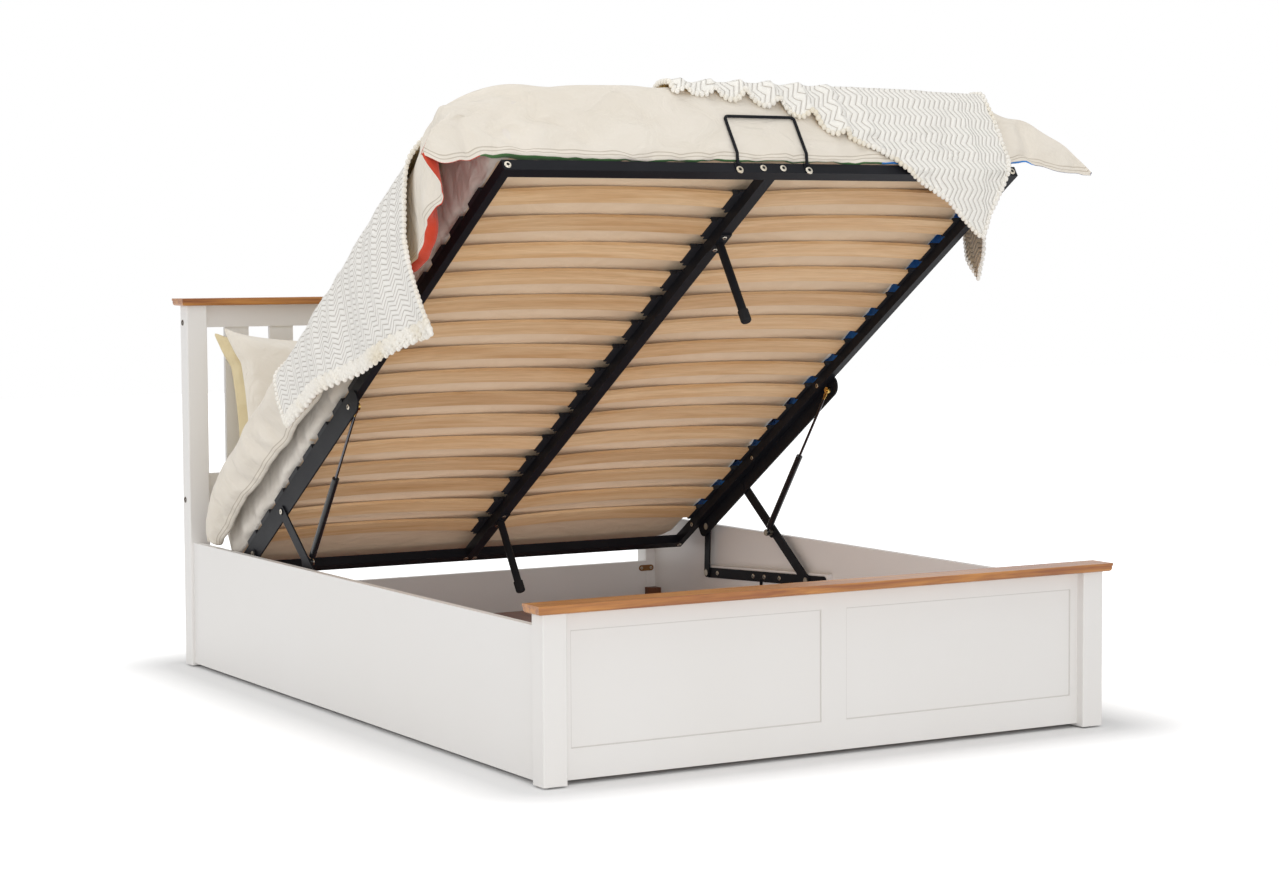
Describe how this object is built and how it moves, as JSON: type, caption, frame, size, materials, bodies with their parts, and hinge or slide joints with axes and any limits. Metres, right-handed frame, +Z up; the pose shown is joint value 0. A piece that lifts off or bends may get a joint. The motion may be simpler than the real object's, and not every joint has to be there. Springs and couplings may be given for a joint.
{
  "type": "ottoman storage bed",
  "caption": "Painted storage bed whose sprung slat platform lifts at the foot on four-bar linkages with gas struts, with mattress and bedding.",
  "frame": {"origin": "on the floor under the middle of the bed's footprint", "axes": "+X across the bed to its right as seen from the foot end, +Y towards the headboard, +Z up"},
  "size_m": [1.7506, 2.07, 1.4966],
  "materials": {
    "white_paint": "satin warm white paint on smooth timber board",
    "oak_stain": "honey oak stain under satin lacquer",
    "brown_board": "reddish brown wood-look board",
    "beech": "bare laminated beech, lightly sealed",
    "black_metal": "black powder coat, satin",
    "bolt_steel": "zinc plated, slightly warm",
    "bronze_plate": "bronze lacquer, satin",
    "black_plastic": "moulded black plastic",
    "brown_plastic": "moulded brown plastic",
    "rubber_black": "soft black rubber",
    "strut_paint": "black gloss paint",
    "strut_rod": "polished dark rod",
    "mattress_cloth": "greige knitted ticking",
    "duvet_cloth": "cream washed cotton",
    "throw_knit": "off-white chevron knit",
    "pillow_cream": "cream washed cotton",
    "pillow_yellow": "pale yellow cotton"
  },
  "bodies": {
    "bed_frame": {"head_posts": "white_paint", "foot_posts": "white_paint", "head_cap": "oak_stain", "foot_cap": "oak_stain", "head_top_rail": "white_paint", "head_mid_rail": "white_paint", "head_slats": "white_paint", "head_lower_panel": "white_paint", "foot_top_rail": "white_paint", "foot_bottom_rail": "white_paint", "foot_stiles": "white_paint", "foot_panels": "white_paint", "side_panel_left": "white_paint", "side_panel_right": "white_paint", "lift_batten_left": "white_paint", "lift_batten_right": "white_paint", "storage_boards": "brown_board", "floor_ledgers": "white_paint", "floor_beams": "beech", "corner_plates": "bronze_plate", "corner_blocks": "brown_plastic", "frame_fasteners": "bolt_steel", "post_glides": "black_plastic", "base_plate_left": "black_metal", "base_plate_right": "black_metal", "pivot_pins": "bolt_steel"},
    "rear_links": {"rear_link_left": "black_metal", "rear_link_right": "black_metal"},
    "front_links": {"front_link_left": "black_metal", "front_link_right": "black_metal", "strut_stubs": "bolt_steel"},
    "strut_cylinders": {"strut_cylinder_left": "strut_paint", "strut_cylinder_right": "strut_paint"},
    "strut_rods": {"strut_rod_left": "strut_rod", "strut_rod_right": "strut_rod"},
    "platform": {"side_rail_left": "black_metal", "side_rail_right": "black_metal", "head_rail": "black_metal", "foot_rail": "black_metal", "centre_rail": "black_metal", "upper_bar_left": "black_metal", "upper_bar_right": "black_metal", "bar_pins": "bolt_steel", "platform_fasteners": "bolt_steel", "outer_holders_left": "black_plastic", "outer_holders_right": "black_plastic", "centre_holders": "black_plastic", "slats_left": "beech", "slats_right": "beech", "centre_legs": "black_metal", "leg_feet": "rubber_black", "retainer_hoop": "black_metal", "mattress": "mattress_cloth", "duvet": "duvet_cloth", "throw_left": "throw_knit", "throw_right": "throw_knit", "pillows_front": "pillow_cream", "pillows_back": "pillow_yellow"}
  },
  "joints": [
    {"name": "rear_link_hinge", "type": "hinge", "parent": "bed_frame", "child": "rear_links", "pos_m": [0, 0.646, 0.197], "axis": [1, 0, 0], "range_deg": [-54.67, 0]},
    {"name": "platform_hinge", "type": "hinge", "parent": "rear_links", "child": "platform", "pos_m": [0, 0.6399, 0.32786], "axis": [1, 0, 0], "range_deg": [0, 87.76], "stiffness_Nm_per_rad": 200, "springref_deg": -91.67},
    {"name": "front_link_hinge", "type": "hinge", "parent": "bed_frame", "child": "front_links", "pos_m": [0, 0.141, 0.224], "axis": [1, 0, 0], "range_deg": [-28.66, 0]},
    {"name": "strut_swing", "type": "hinge", "parent": "front_links", "child": "strut_cylinders", "pos_m": [0, 0.30852, 0.33891], "axis": [1, 0, 0], "range_deg": [0, 76.64]},
    {"name": "strut_stroke", "type": "slide", "parent": "strut_cylinders", "child": "strut_rods", "axis": [0, -0.5935, 0.8048], "range_m": [-0.15199, 0]}
  ],
  "couplings": [
    {"joint": "rear_link_hinge", "follows": "platform_hinge", "ratio": -0.62285},
    {"joint": "front_link_hinge", "follows": "platform_hinge", "ratio": -0.32645},
    {"joint": "strut_swing", "follows": "platform_hinge", "ratio": 0.8731},
    {"joint": "strut_stroke", "follows": "platform_hinge", "m_per_rad": -0.099162}
  ]
}
